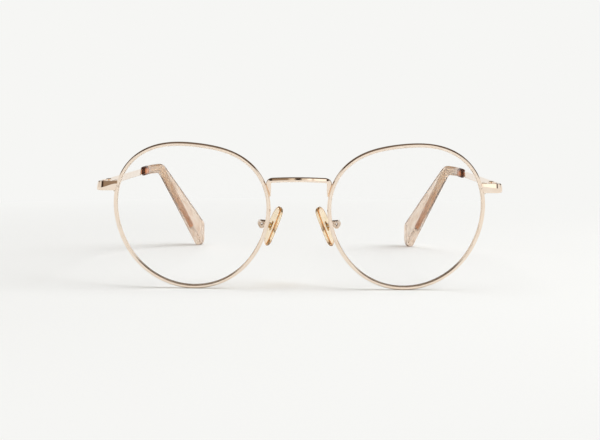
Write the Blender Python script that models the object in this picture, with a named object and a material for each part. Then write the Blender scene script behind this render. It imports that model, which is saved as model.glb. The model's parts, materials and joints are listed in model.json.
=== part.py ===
"""Round wire-rimmed eyeglasses, standing open on their rims and temple tips.

+X is to the viewer's right, -Y is the wearer's front, +Z is up. Left and right are as seen from the
front. Shapes are worked out in millimetres and written in metres. Each side is built from the same
functions, with side = -1 for the left and +1 for the right.
"""

import math

import bmesh
import bpy
from mathutils import Matrix, Vector

METRES = 0.001
GAP = 0.06  # between soldered or pressed neighbours
RUNNING = 0.05  # radial clearance round a screw that something turns on

# The front: each lens plane leans by the tilt and turns back by the wrap.
LENS_SPACING = 70.6
LENS_HEIGHT = 24.9
FRONT_TILT = math.radians(6)
FRONT_WRAP = math.radians(3)
LENS_CURVE = 132.0
LENS_THICKNESS = 1.7
RIM_MEAN_RADIUS = 24.62
RIM_OVALITY = (0.68, 0.32)
RIM_TRIANGLE = (-0.19, 0.81)
RIM_SQUARENESS = (-0.25, -0.115)
RIM_HALF_WIDTH = 0.65
RIM_HALF_DEPTH = 0.85
RIM_SEGMENTS = 48
SPLIT_HALF = math.radians(0.3)

# The blocks that clamp each rim, behind its split.
LOCK_WIDTH = 2.1
LOCK_DEPTH = 1.9
LOCK_HEIGHT = 1.7
LOCK_HALF_GAP = 0.05
LOCK_STEP_BACK = 0.25
LOCK_SCREW_RADIUS = 0.5
LOCK_SCREW_HEAD = (0.8, 0.45)  # radius, height

BRIDGE_HEIGHT = 36.4
BRIDGE_HALF_SPAN = 8.4
BRIDGE_BAR = (1.6, 1.5)
BRIDGE_LEG = (159, 167)  # degrees round the rim, top and foot of the leg

# The end pieces carry the hinges back from the front at the height of the temples.
TEMPLE_HEIGHT = 34.0
END_HALF_HEIGHT = 1.55
END_HALF_THICKNESS = 0.75
END_OUTER_X = 66.5
END_CORNER = 1.6
HINGE = (63.75, 13.0)
BARREL_RADIUS = 1.15
HINGE_SCREW_RADIUS = 0.55
HINGE_SCREW_HEAD = (0.95, 0.3, 0.48)  # radius, height of its rim, height of its dome
HINGE_REACH = 1.3  # clears a barrel that passes by
KNUCKLE_HALF = 0.48
KNUCKLE_GAP = 0.06
LEAF_LENGTH = 6.0
LEAF_THICKNESS = 0.5

# The temples: a side outline in (arc, height), bent in plan by the heading.
TEMPLE_X = 65.9
BAR_HEIGHT = 2.35
BAR_THICKNESS = 1.1
BAR_END = 69.8
COLLAR = (70.5, 75.5)
COLLAR_HEIGHT = 3.4
TIP_START = 75.6
TIP_END = 130.7
TIP_HEIGHT = 3.5
TIP_THICKNESS = (2.4, 3.2)
TOP_BEND = 92.8
LOWER_BEND = 92.0
DROP_SLOPE = 0.895
TIP_CORNER_HEIGHT = 10.0
CORE_HEIGHT = 1.7
CORE_THICKNESS = 0.9
CORE_END_HEIGHT = 9.0
HEADING = (math.radians(4.4), math.radians(20.5), math.radians(-1.5))
HEADING_TURN = (74.0, 92.0)

# The nose pads, each in its own frame: along, across and normal.
PAD_AXIS = (9.9, 8.8, 20.9)
PAD_FRONTAL = math.radians(21)
PAD_SPLAY = math.radians(24)
PAD_LENGTH = 13.8
PAD_WIDTH = 7.2
PAD_BACK = 0.93
PAD_THICKNESS = 1.8
PAD_DOME = ((0, 0.84), (0.35, 1.0), (0.8, 0.95), (1.35, 0.72), (PAD_THICKNESS, 0.3))
PAD_DROP = 0.12  # how much wider than the middle the upper end is
PAD_SCREW_RADIUS = 0.22
PAD_SCREW_HEAD = (0.42, 0.24)  # radius, height
BOX_HALF_WIDTH = 1.1
BOX_HALF_LENGTH = 0.75
BOX_BACK = 0.95
BOX_FRONT = 0.5
BOX_SLOT = 0.55
TONGUE_RADIUS = 0.5
TONGUE_HALF_WIDTH = 0.45
MOUNT_PLATE = (1.6, 0.66, 0.87)  # half length, underside, top
ARM_RADIUS = 0.45
ARM_ANGLE = math.radians(187)

CHAMPAGNE = (0.86, 0.70, 0.56)
SIDES = {"left": -1, "right": 1}


# ---- scene, materials and mesh helpers ----


def clear_scene():
    for thing in list(bpy.data.objects):
        bpy.data.objects.remove(thing)


def make_material(name, colour, roughness, metallic, transmission=0.0):
    material = bpy.data.materials.new(name)
    material.use_nodes = True
    shader = material.node_tree.nodes["Principled BSDF"]
    shader.inputs["Base Color"].default_value = (*colour, 1)
    shader.inputs["Roughness"].default_value = roughness
    shader.inputs["Metallic"].default_value = metallic
    shader.inputs["Transmission Weight"].default_value = transmission
    return material


def empty_at(name, position, parent=None):
    """An empty whose place is a joint's axis; position is in millimetres in the front's frame."""
    pivot = bpy.data.objects.new(name, None)
    bpy.context.scene.collection.objects.link(pivot)
    if parent:
        pivot.parent = parent
        pivot.location = Vector(position) * METRES - Vector(parent["at"])
    else:
        pivot.location = Vector(position) * METRES
    pivot["at"] = Vector(position) * METRES
    return pivot


def add_object(name, shape, material, parent):
    """Links a bmesh, given in millimetres in the front's frame, as a child of a pivot."""
    bmesh.ops.recalc_face_normals(shape, faces=shape.faces)
    if shape.calc_volume(signed=True) < 0:
        bmesh.ops.reverse_faces(shape, faces=shape.faces)
    bmesh.ops.scale(shape, vec=(METRES,) * 3, verts=shape.verts)
    bmesh.ops.translate(shape, vec=-Vector(parent["at"]), verts=shape.verts)
    mesh = bpy.data.meshes.new(name)
    shape.to_mesh(mesh)
    shape.free()
    mesh.shade_smooth()
    mesh.set_sharp_from_angle(angle=math.radians(30))
    mesh.materials.append(material)
    made = bpy.data.objects.new(name, mesh)
    bpy.context.scene.collection.objects.link(made)
    made.parent = parent
    return made


def loft(rings, closed=False):
    """A skin over rings of equally many points; open lofts get a face over each end."""
    shape = bmesh.new()
    rows = [[shape.verts.new(point) for point in ring] for ring in rings]
    count = len(rows[0])
    pairs = list(zip(rows, rows[1:]))
    if closed:
        pairs.append((rows[-1], rows[0]))
    else:
        shape.faces.new(rows[0])
        shape.faces.new(rows[-1])
    for first, second in pairs:
        for i in range(count):
            j = (i + 1) % count
            shape.faces.new((first[i], first[j], second[j], second[i]))
    return shape


def prism(outline, low, high):
    """An outline in x and y, extruded from one height to another."""
    return loft([[Vector((x, y, z)) for x, y in outline] for z in (low, high)])


def turned(base, axis, profile, count=16):
    """Rings round an axis: profile lists (distance along, radius)."""
    axis = Vector(axis).normalized()
    across = axis.orthogonal().normalized()
    other = axis.cross(across)
    return loft([
        [
            Vector(base) + axis * along + (across * math.cos(t) + other * math.sin(t)) * radius
            for t in (2 * math.pi * k / count for k in range(count))
        ]
        for along, radius in profile
    ])


def cut(target, shape, name, parent):
    cutter = add_object(name, shape, target.data.materials[0], parent)
    cutter.hide_render = True
    cutter.display_type = "WIRE"
    modifier = target.modifiers.new(name, "BOOLEAN")
    modifier.operation = "DIFFERENCE"
    modifier.object = cutter


def rounded_section(height, thickness, radius):
    """Twelve points round an upright rectangle with rounded corners, as (across, up)."""
    radius = min(radius, height / 2.05, thickness / 2.05)
    points = []
    for quarter, (sx, sz) in enumerate(((1, 1), (-1, 1), (-1, -1), (1, -1))):
        centre = (sx * (thickness / 2 - radius), sz * (height / 2 - radius))
        for step in (0, 1, 2):
            turn = math.radians(90 * quarter + 45 * step)
            points.append((centre[0] + radius * math.cos(turn), centre[1] + radius * math.sin(turn)))
    return points


def blend(t):
    t = min(1, max(0, t))
    return t * t * (3 - 2 * t)


def filleted(points, radii, straight, round_steps):
    """Points along a chain of straight lines whose inner corners are arcs."""
    points = [Vector(p) for p in points]
    path = [points[0]]
    for corner in range(1, len(points) - 1):
        back = (points[corner - 1] - points[corner]).normalized()
        ahead = (points[corner + 1] - points[corner]).normalized()
        half = back.angle(ahead) / 2
        reach = radii[corner - 1] / math.tan(half)
        start = points[corner] + back * reach
        centre = points[corner] + (back + ahead).normalized() * (radii[corner - 1] / math.sin(half))
        before = path[-1]
        path += [before.lerp(start, k / straight) for k in range(1, straight)]
        first = start - centre
        last = points[corner] + ahead * reach - centre
        for k in range(round_steps + 1):
            path.append(centre + first.slerp(last, k / round_steps).normalized() * radii[corner - 1])
    path.append(points[-1])
    return path


# ---- frames that the pieces are placed in ----


def lens_frame(side):
    """Centre, temporal, upward and forward directions of one lens plane."""
    turn = Matrix.Rotation(side * FRONT_WRAP, 3, "Z") @ Matrix.Rotation(FRONT_TILT, 3, "X")
    centre = Vector((side * LENS_SPACING / 2, 0, LENS_HEIGHT))
    return centre, turn @ Vector((side, 0, 0)), turn @ Vector((0, 0, 1)), turn @ Vector((0, -1, 0))


def rim_radius(angle):
    """Distance of the rim's centre line from the lens centre: a circle, flattened at the brow."""
    radius = RIM_MEAN_RADIUS
    for order, (even, odd) in zip((2, 3, 4), (RIM_OVALITY, RIM_TRIANGLE, RIM_SQUARENESS)):
        radius += even * math.cos(order * angle) + odd * math.sin(order * angle)
    return radius


def on_lens(side, angle, radius, forward=0.0):
    """A point at a polar place on the lens's curved middle surface, moved forward of it."""
    centre, temporal, up, front = lens_frame(side)
    sag = radius * radius / (2 * LENS_CURVE)
    flat = temporal * (radius * math.cos(angle)) + up * (radius * math.sin(angle))
    return centre + flat + front * (forward - sag)


def on_rim(side, angle, outward=0.0, forward=0.0):
    """As on_lens, at a distance outside the rim's centre line; the sag stays the rim's own."""
    centre, temporal, up, front = lens_frame(side)
    middle = rim_radius(angle)
    radius = middle + outward
    flat = temporal * (radius * math.cos(angle)) + up * (radius * math.sin(angle))
    return centre + flat + front * (forward - middle * middle / (2 * LENS_CURVE))


def rim_angle_at(height):
    """Where the temporal side of the rim passes a height; each pass uses the last one's radius."""
    angle = 0.0
    for _ in range(8):
        radius = rim_radius(angle)
        rise = height - LENS_HEIGHT - radius * radius / (2 * LENS_CURVE) * math.sin(FRONT_TILT)
        angle = math.asin(rise / (radius * math.cos(FRONT_TILT)))
    return angle


SPLIT_ANGLE = rim_angle_at(TEMPLE_HEIGHT)


def heading(arc):
    start, bent, drift = HEADING
    first, last = HEADING_TURN
    turned_by = (bent - start) * blend((arc - first) / (last - first))
    return start + turned_by + drift * max(0, arc - last) / (TIP_END - last)


def plan_curve():
    """The temple's centre line seen from above, one point per millimetre of arc."""
    points = [Vector((TEMPLE_X, HINGE[1]))]
    for step in range(int(TIP_END) + 4):
        turn = heading(step + 0.5)
        points.append(points[-1] + Vector((-math.sin(turn), math.cos(turn))))
    return points


PLAN = plan_curve()


def on_temple(side, arc, outward, height):
    """A point beside the temple's centre line, at an arc length from the hinge."""
    step = min(max(int(arc), 0), len(PLAN) - 2)
    place = PLAN[step].lerp(PLAN[step + 1], arc - step)
    turn = heading(arc)
    place = place + Vector((math.cos(turn), math.sin(turn))) * outward
    return Vector((side * place.x, place.y, height))


def side_ring(side, low, high, thickness, radius):
    """A section of the temple between two points of its side outline."""
    low, high = Vector(low), Vector(high)
    middle = (low + high) / 2
    along = (high - low).normalized()
    return [
        on_temple(side, middle.x + along.x * up, across, middle.y + along.y * up)
        for across, up in rounded_section((high - low).length, thickness, radius)
    ]


def path_ring(side, path, index, height, thickness):
    """A section square to a side path, for the core wire and its bore."""
    ahead = path[min(index + 1, len(path) - 1)] - path[max(index - 1, 0)]
    square = Vector((-ahead.y, ahead.x)).normalized() * (height / 2)
    return side_ring(side, path[index] - square, path[index] + square, thickness, thickness / 3)


def pad_frame(side):
    """Joint point, then the along, across and nose-facing directions of a nose pad."""
    along = Vector((-side * math.tan(PAD_FRONTAL), -math.tan(FRONT_TILT), 1)).normalized()
    across = Vector((side * math.sin(PAD_SPLAY), math.cos(PAD_SPLAY), 0))
    across = (across - along * across.dot(along)).normalized()
    toward_nose = along.cross(across) * side
    x, y, z = PAD_AXIS
    return Vector((side * x, y, z)), along, across, toward_nose


def in_pad(side, along, across, normal):
    origin, a, c, n = pad_frame(side)
    return origin + a * along + c * across + n * normal


# ---- the front ----


def build_rim(side, name, material, parent):
    """Grooved wire, split where the lock closes it."""
    w, d = RIM_HALF_WIDTH, RIM_HALF_DEPTH
    half_section = [(w, 0.5 * d), (0.7 * w, d), (-0.7 * w, d), (-w, 0.72 * d), (-w, 0.5 * d)]
    section = half_section + [(-0.25 * w, 0)] + [(p, -q) for p, q in reversed(half_section)]
    first = SPLIT_ANGLE + SPLIT_HALF
    sweep = 2 * math.pi - 2 * SPLIT_HALF
    rings = [
        [on_rim(side, first + sweep * k / RIM_SEGMENTS, p, q) for p, q in section]
        for k in range(RIM_SEGMENTS + 1)
    ]
    return add_object(name, loft(rings), material, parent)


def build_lens(side, name, material, parent):
    """A meniscus with a bevelled edge that sits in the rim's groove."""
    bevel = 0.25 * RIM_HALF_WIDTH + GAP
    face_edge = RIM_HALF_WIDTH + GAP
    half = LENS_THICKNESS / 2
    land = 0.25
    profile = (
        (0.5, -half, 0), (1, -land, -face_edge), (1, 0, -bevel),
        (1, land, -face_edge), (0.5, half, 0),
    )
    rings = []
    for share, forward, inset in profile:
        ring = []
        for k in range(RIM_SEGMENTS):
            angle = SPLIT_ANGLE + 2 * math.pi * k / RIM_SEGMENTS
            ring.append(on_lens(side, angle, (rim_radius(angle) + inset) * share, forward))
        rings.append(ring)
    return add_object(name, loft(rings), material, parent)


def bridge_path():
    """Half of the bridge from the foot of one leg to the middle, as (place, width) pairs."""
    top, foot = (math.radians(a) for a in BRIDGE_LEG)
    path = []
    for k in range(4):
        t = k / 3
        width = 0.4 + (BRIDGE_BAR[0] - 0.4) * t
        outward = RIM_HALF_WIDTH + GAP + width / 2
        path.append((on_rim(1, foot + (top - foot) * t, outward, 0.1), width))
    leg_top = path[-1][0]
    bar_y = leg_top.y - 0.5
    shoulder = Vector((leg_top.x + 0.25, bar_y + 0.2, BRIDGE_HEIGHT))
    bar_end = Vector((BRIDGE_HALF_SPAN - 0.4, bar_y, BRIDGE_HEIGHT))
    for k in (1, 2, 3, 4):
        t = k / 4
        path.append((leg_top.lerp(shoulder, t).lerp(shoulder.lerp(bar_end, t), t), BRIDGE_BAR[0]))
    return path


def build_bridge(name, material, parent):
    half = bridge_path()
    mirrored = [(Vector((-p.x, p.y, p.z)), width) for p, width in half]
    path = half + mirrored[::-1]
    rings = []
    for k, (place, width) in enumerate(path):
        ahead = path[min(k + 1, len(path) - 1)][0] - path[max(k - 1, 0)][0]
        ahead = Vector((ahead.x, 0, ahead.z)).normalized()
        square = Vector((ahead.z, 0, -ahead.x))
        section = rounded_section(width, BRIDGE_BAR[1] * (0.6 + 0.4 * width / BRIDGE_BAR[0]), 0.35)
        rings.append([place + square * up + Vector((0, across, 0)) for across, up in section])
    return add_object(name, loft(rings), material, parent)


def beside_split(rise):
    """A point just outside the rim, at a height above the middle of the temples."""
    return on_rim(1, rim_angle_at(TEMPLE_HEIGHT + rise), RIM_HALF_WIDTH + 2 * GAP)


def end_piece_path():
    """From the rim outwards, round the corner and back to the hinge, seen from above."""
    start = beside_split(0)
    side_x = END_OUTER_X - END_HALF_THICKNESS
    points = ((start.x, start.y), (side_x, start.y), (side_x, HINGE[1] - 0.1))
    return filleted(points, [END_CORNER], 2, 5)


def build_end_piece(side, name, material, parent):
    """A bar with a bevelled upper edge, wider towards the front, bent round the corner."""
    t, h = END_HALF_THICKNESS, END_HALF_HEIGHT
    section = (
        (-t, 0.1 - h), (0.1 - t, -h), (t - 0.2, -h), (t, 0.2 - h),
        (t, h - 1.1), (t - 0.8, h), (0.1 - t, h), (-t, h - 0.1),
    )
    path = end_piece_path()
    rings = []
    for k, place in enumerate(path):
        ahead = (path[min(k + 1, len(path) - 1)] - path[max(k - 1, 0)]).normalized()
        outward = Vector((ahead.y, -ahead.x))
        ring = []
        for o, z in section:
            x = place.x + outward.x * o if k else beside_split(z).x
            ring.append(Vector((side * x, place.y + outward.y * o, TEMPLE_HEIGHT + z)))
        rings.append(ring)
    return add_object(name, loft(rings), material, parent)


def block(x, y, half_x, front, back):
    """Corners of an upright block seen from above, front and back measured from its middle."""
    return [
        (x - half_x, y + front), (x + half_x, y + front),
        (x + half_x, y + back), (x - half_x, y + back),
    ]


def bore_through(base, axis, length, radius, count=16):
    return turned(base, axis, ((0, radius), (length, radius)), count)


def build_rim_lock(side, where, pieces):
    """Two blocks behind the rim's split, drawn together by an upright screw."""
    rim = on_rim(1, SPLIT_ANGLE, 0, -RIM_HALF_DEPTH)
    x = side * (rim.x - 0.1 + LOCK_WIDTH / 2)
    y = rim.y + LOCK_STEP_BACK + LOCK_DEPTH / 2
    outline = block(x, y, LOCK_WIDTH / 2, -LOCK_DEPTH / 2, LOCK_DEPTH / 2)
    top = rim.z + LOCK_HALF_GAP + LOCK_HEIGHT
    bottom = rim.z - LOCK_HALF_GAP - LOCK_HEIGHT
    spans = {"upper": (top - LOCK_HEIGHT, top), "lower": (bottom, bottom + LOCK_HEIGHT)}
    for which, (low, high) in spans.items():
        node = f"rim_lock_{which}_{where}"
        made = add_object(node, prism(outline, low, high), pieces.gold, pieces.root)
        bore = bore_through((x, y, low - 1), (0, 0, 1), LOCK_HEIGHT + 2, LOCK_SCREW_RADIUS + RUNNING)
        cut(made, bore, f"{node}_bore", pieces.root)
    head, rise = LOCK_SCREW_HEAD
    shaft = LOCK_SCREW_RADIUS
    chamfer = 0.12
    length = rise + top - bottom - 0.3
    screw = ((0, head - 2 * chamfer), (chamfer, head), (rise, head), (rise + 0.01, shaft), (length, shaft))
    shape = turned((x, y, bottom - rise - GAP), (0, 0, 1), screw)
    add_object(f"rim_lock_screw_{where}", shape, pieces.steel, pieces.root)


# ---- the hinges ----


def knuckle_outline(side, direction):
    """Barrel and leaf of one half of a hinge from above; direction is -1 forward, +1 backward."""
    x, y = HINGE
    points = []
    steps = 14
    for k in range(steps + 1):
        turn = math.radians(80 + (280 - 2) * k / steps) * direction
        points.append((BARREL_RADIUS * math.cos(turn), BARREL_RADIUS * math.sin(turn)))
    reach = BARREL_RADIUS if direction < 0 else TEMPLE_X - x - BAR_THICKNESS / 2 - GAP
    slant = 0 if direction < 0 else math.tan(HEADING[0])
    for dy, inward in ((0.05, 0), (LEAF_LENGTH, 0), (LEAF_LENGTH, LEAF_THICKNESS), (1.5, LEAF_THICKNESS)):
        points.append((reach - slant * dy - inward, dy * direction))
    return [(side * (x + dx), y + dy) for dx, dy in points]


def build_hinge(side, where, pieces, temple):
    """Three knuckles on one screw: two on the end piece and one on the temple."""
    x, y = side * HINGE[0], HINGE[1]
    low, high = TEMPLE_HEIGHT - END_HALF_HEIGHT, TEMPLE_HEIGHT + END_HALF_HEIGHT
    bore = ((x, y, low - 1), (0, 0, 1), high - low + 2, HINGE_SCREW_RADIUS + RUNNING)

    name = f"front_hinge_{where}"
    fork = add_object(name, prism(knuckle_outline(side, -1), low, high), pieces.gold, pieces.root)
    slot = KNUCKLE_HALF + KNUCKLE_GAP
    room = block(x, y, 2, -HINGE_REACH, 2)
    shape = prism(room, TEMPLE_HEIGHT - slot, TEMPLE_HEIGHT + slot)
    cut(fork, shape, f"{name}_slot", pieces.root)
    cut(fork, bore_through(*bore), f"{name}_bore", pieces.root)

    name = f"temple_hinge_{where}"
    leaf_half = BAR_HEIGHT / 2 - 0.1
    leaf = prism(knuckle_outline(side, 1), TEMPLE_HEIGHT - leaf_half, TEMPLE_HEIGHT + leaf_half)
    tongue = add_object(name, leaf, pieces.gold, temple)
    room = block(x, y, 2, -2, HINGE_REACH)
    for which, edge in (("above", KNUCKLE_HALF), ("below", -KNUCKLE_HALF - 2)):
        shape = prism(room, TEMPLE_HEIGHT + edge, TEMPLE_HEIGHT + edge + 2)
        cut(tongue, shape, f"{name}_{which}", temple)
    cut(tongue, bore_through(*bore), f"{name}_bore", temple)

    shaft = HINGE_SCREW_RADIUS
    head, rim, dome = HINGE_SCREW_HEAD
    length = high - low
    screw = (
        (0, shaft), (length, shaft), (length + 0.03, head),
        (length + rim, head), (length + dome, 0.6 * head),
    )
    shape = turned((x, y, low), (0, 0, 1), screw)
    add_object(f"hinge_screw_{where}", shape, pieces.steel, pieces.root)


# ---- the temples ----


def core_path():
    """Side path of the core wire: level, then parallel to the lower edge of the tip."""
    bend = LOWER_BEND + 0.6
    end = bend + (TEMPLE_HEIGHT - CORE_END_HEIGHT) / DROP_SLOPE
    points = ((TIP_START, TEMPLE_HEIGHT), (bend, TEMPLE_HEIGHT), (end, CORE_END_HEIGHT))
    return filleted(points, [8.0], 3, 6)


def core_rings(side, path, clearance):
    """Sections of the core wire, or of its bore, tapering to a blunt end."""
    rings = []
    for k in range(len(path)):
        shrink = 0.6 if k == len(path) - 1 else 1
        height = CORE_HEIGHT * shrink + 2 * clearance
        rings.append(path_ring(side, path, k, height, CORE_THICKNESS * shrink + 2 * clearance))
    return rings


def build_bar(side, name, material, parent):
    """Flat temple bar, running on as the core wire inside the tip."""
    half = BAR_HEIGHT / 2
    rings = []
    for arc in (0.15, BAR_END / 2, BAR_END):
        ends = (arc, TEMPLE_HEIGHT - half), (arc, TEMPLE_HEIGHT + half)
        rings.append(side_ring(side, *ends, BAR_THICKNESS, 0.3))
    for arc in (BAR_END + 0.3, HEADING_TURN[0]):
        ends = (arc, TEMPLE_HEIGHT - CORE_HEIGHT / 2), (arc, TEMPLE_HEIGHT + CORE_HEIGHT / 2)
        rings.append(side_ring(side, *ends, CORE_THICKNESS, 0.3))
    path = core_path()
    rings += core_rings(side, path, 0)
    return add_object(name, loft(rings), material, parent)


def build_collar(side, name, material, parent):
    """A short sleeve that covers the joint of bar and tip."""
    rings = []
    stations = (COLLAR[0], COLLAR[0] + 0.3, COLLAR[1] - 0.3, COLLAR[1])
    for arc, trim in zip(stations, (0.3, 0, 0, 0.3)):
        half = (COLLAR_HEIGHT - trim) / 2
        ends = (arc, TEMPLE_HEIGHT - half), (arc, TEMPLE_HEIGHT + half)
        rings.append(side_ring(side, *ends, TIP_THICKNESS[0] - trim, 1.3))
    for arc in (COLLAR[1], COLLAR[0]):
        half = CORE_HEIGHT / 2 + GAP
        ends = (arc, TEMPLE_HEIGHT - half), (arc, TEMPLE_HEIGHT + half)
        rings.append(side_ring(side, *ends, CORE_THICKNESS + 2 * GAP, 0.3))
    return add_object(name, loft(rings, closed=True), material, parent)


def tip_edges():
    """Upper and lower edges of the tip's side outline, with matching stations."""
    half = TIP_HEIGHT / 2
    facet = TIP_CORNER_HEIGHT / 2
    drop = TEMPLE_HEIGHT - half - DROP_SLOPE * (TIP_END - LOWER_BEND)
    upper = (
        (TIP_START, TEMPLE_HEIGHT + half), (TOP_BEND, TEMPLE_HEIGHT + half),
        (TIP_END, TIP_CORNER_HEIGHT), (TIP_END, facet + 1),
    )
    lower = (
        (TIP_START, TEMPLE_HEIGHT - half), (LOWER_BEND, TEMPLE_HEIGHT - half),
        (TIP_END, drop), (TIP_END, facet - 1),
    )
    return filleted(upper, [7.0, 1.0], 4, 5), filleted(lower, [9.0, 2.0], 4, 5)


def build_tip(side, name, material, parent):
    """Moulded ear tip: bore from the front, flat paddle with an upright end facet."""
    upper, lower = tip_edges()
    bore = core_rings(side, core_path(), GAP)
    outer = []
    for k, (high, low) in enumerate(zip(upper, lower)):
        share = k / (len(upper) - 1)
        thickness = TIP_THICKNESS[0] + (TIP_THICKNESS[1] - TIP_THICKNESS[0]) * share
        outer.append(side_ring(side, low, high, thickness, 1.2 - 0.4 * share))
    return add_object(name, loft(bore[::-1] + outer), material, parent)


# ---- the nose pads ----


def build_pad_arm(side, name, material, parent):
    """Bent wire from the back of the rim, out behind the lens and in to the pad box."""
    root = on_rim(1, ARM_ANGLE, 0, -RIM_HALF_DEPTH - GAP)
    end = in_pad(1, 0, 0, -BOX_BACK - 2 * GAP)
    x, y, z = end
    corners = [
        root, root + Vector((0.2, 1.2, 0.2)), Vector((x + 1.3, root.y + 1.8, root.z + 0.3)),
        Vector((x + 2.1, y - 1.0, z + 1.0)), Vector((x + 1.9, y - 0.2, z - 0.6)),
        in_pad(1, 0, 0, -BOX_BACK - 0.7), end,
    ]
    path = smooth_path(corners, 3)
    rings = []
    for k, place in enumerate(path):
        ahead = (path[min(k + 1, len(path) - 1)] - path[max(k - 1, 0)]).normalized()
        first = ahead.cross(Vector((0, 0, 1))).normalized()
        second = ahead.cross(first)
        ring = []
        for step in range(6):
            turn = math.radians(60 * step)
            p = place + (first * math.cos(turn) + second * math.sin(turn)) * ARM_RADIUS
            ring.append(Vector((side * p.x, p.y, p.z)))
        rings.append(ring)
    return add_object(name, loft(rings), material, parent)


def smooth_path(points, steps):
    """A Catmull-Rom curve through the points."""
    ends = [points[0]] + list(points) + [points[-1]]
    path = []
    for a, b, c, d in zip(ends, ends[1:], ends[2:], ends[3:]):
        for k in range(steps):
            t = k / steps
            path.append(0.5 * (2 * b + (c - a) * t + (2 * a - 5 * b + 4 * c - d) * t**2
                               + (3 * b - a - 3 * c + d) * t**3))
    return path + [points[-1]]


def pad_bore(side):
    """The hole for the pad's screw, along the axis that the pad rocks on."""
    across = pad_frame(side)[2]
    return bore_through(in_pad(side, 0, -2, 0), across, 4, PAD_SCREW_RADIUS + RUNNING, 12)


def build_pad_box(side, where, pieces):
    """A clevis on the arm's end and the screw through it."""
    w, slot, floor = BOX_HALF_WIDTH, BOX_SLOT, 0.25 - BOX_BACK
    outline = (
        (-w, -BOX_BACK), (w, -BOX_BACK), (w, BOX_FRONT), (slot, BOX_FRONT),
        (slot, floor), (-slot, floor), (-slot, BOX_FRONT), (-w, BOX_FRONT),
    )
    rings = [
        [in_pad(side, along, across, normal) for across, normal in outline]
        for along in (-BOX_HALF_LENGTH, BOX_HALF_LENGTH)
    ]
    box = add_object(f"pad_box_{where}", loft(rings), pieces.gold, pieces.root)
    cut(box, pad_bore(side), f"pad_box_{where}_bore", pieces.root)
    head, rise = PAD_SCREW_HEAD
    shaft = PAD_SCREW_RADIUS
    length = 2 * BOX_HALF_WIDTH - 0.05
    profile = ((0, shaft), (length, shaft), (length + 0.01, head), (length + rise, head))
    start = in_pad(side, 0, 0.1 - BOX_HALF_WIDTH, 0)
    screw = turned(start, pad_frame(side)[2], profile, 12)
    add_object(f"pad_screw_{where}", screw, pieces.steel, pieces.root)


def build_pad(side, where, pieces, pivot):
    """Soft pad, flat behind and domed towards the nose, on a metal mount with a round tongue."""
    rings = []
    for rise, share in PAD_DOME:
        ring = []
        for k in range(24):
            turn = 2 * math.pi * k / 24
            along = PAD_LENGTH / 2 * share * math.sin(turn)
            widest = 1 + PAD_DROP * math.sin(turn)
            across = PAD_WIDTH / 2 * share * math.cos(turn) * widest
            ring.append(in_pad(side, along, across, PAD_BACK + rise))
        rings.append(ring)
    add_object(f"nose_pad_{where}", loft(rings), pieces.amber, pivot)

    reach, under, over = MOUNT_PLATE
    round_end = [math.radians(180 + 22.5 * k) for k in range(9)]
    outline = [(TONGUE_RADIUS * math.cos(t), TONGUE_RADIUS * math.sin(t)) for t in round_end]
    outline += [(TONGUE_RADIUS, under), (reach, under), (reach, over)]
    outline += [(-reach, over), (-reach, under), (-TONGUE_RADIUS, under)]
    rings = [
        [in_pad(side, along, across, normal) for along, normal in outline]
        for across in (-TONGUE_HALF_WIDTH, TONGUE_HALF_WIDTH)
    ]
    mount = add_object(f"pad_mount_{where}", loft(rings), pieces.gold, pivot)
    cut(mount, pad_bore(side), f"pad_mount_{where}_bore", pivot)


# ---- assembly ----


class Pieces:
    """What the building functions share: the root and the materials."""

    def __init__(self):
        self.root = empty_at("eyeglasses", (0, 0, 0))
        self.gold = make_material("champagne_gold", CHAMPAGNE, 0.12, 1.0)
        self.steel = make_material("screw_steel", (0.78, 0.70, 0.60), 0.25, 1.0)
        self.copper = make_material("collar_copper", (0.45, 0.22, 0.12), 0.2, 1.0)
        self.acetate = make_material("blush_acetate", (0.85, 0.68, 0.55), 0.08, 0.0, 0.8)
        self.amber = make_material("amber_pad", (0.90, 0.60, 0.25), 0.2, 0.0, 0.7)
        self.glass = make_material("clear_lens", (1.0, 1.0, 1.0), 0.0, 0.0, 1.0)


def build_side(where, side, pieces):
    build_rim(side, f"rim_{where}", pieces.gold, pieces.root)
    build_lens(side, f"lens_{where}", pieces.glass, pieces.root)
    build_end_piece(side, f"end_piece_{where}", pieces.gold, pieces.root)
    build_rim_lock(side, where, pieces)
    build_pad_arm(side, f"pad_arm_{where}", pieces.gold, pieces.root)
    build_pad_box(side, where, pieces)
    pad_pivot = empty_at(f"nose_pad_{where}_pivot", pad_frame(side)[0], pieces.root)
    build_pad(side, where, pieces, pad_pivot)
    hinge_place = (side * HINGE[0], HINGE[1], TEMPLE_HEIGHT)
    temple = empty_at(f"temple_{where}_pivot", hinge_place, pieces.root)
    build_hinge(side, where, pieces, temple)
    build_bar(side, f"temple_bar_{where}", pieces.gold, temple)
    build_collar(side, f"tip_collar_{where}", pieces.copper, temple)
    build_tip(side, f"temple_tip_{where}", pieces.acetate, temple)


def stand_on_origin(root):
    """Moves the root so that the object is centred and stands on z = 0."""
    bpy.context.view_layer.update()
    corners = [
        thing.matrix_world @ vertex.co
        for thing in bpy.data.objects
        if thing.type == "MESH" and not thing.hide_render
        for vertex in thing.data.vertices
    ]
    low = Vector([min(c[i] for c in corners) for i in range(3)])
    high = Vector([max(c[i] for c in corners) for i in range(3)])
    root.location = (-(low.x + high.x) / 2, -(low.y + high.y) / 2, -low.z)


def build_all():
    clear_scene()
    pieces = Pieces()
    build_bridge("bridge", pieces.gold, pieces.root)
    for where, side in SIDES.items():
        build_side(where, side, pieces)
    stand_on_origin(pieces.root)


build_all()
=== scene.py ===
"""Round wire-rimmed eyeglasses, standing open: the shown model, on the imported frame.

+X is to the viewer's right, -Y is the wearer's front, +Z is up. Left and right are as seen from the
front. Shapes are worked out in millimetres in the front's own frame, whose Y = 0 is the front plane
and whose Z = 0 is the floor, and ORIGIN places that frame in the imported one.
"""

import json
import math

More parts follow.
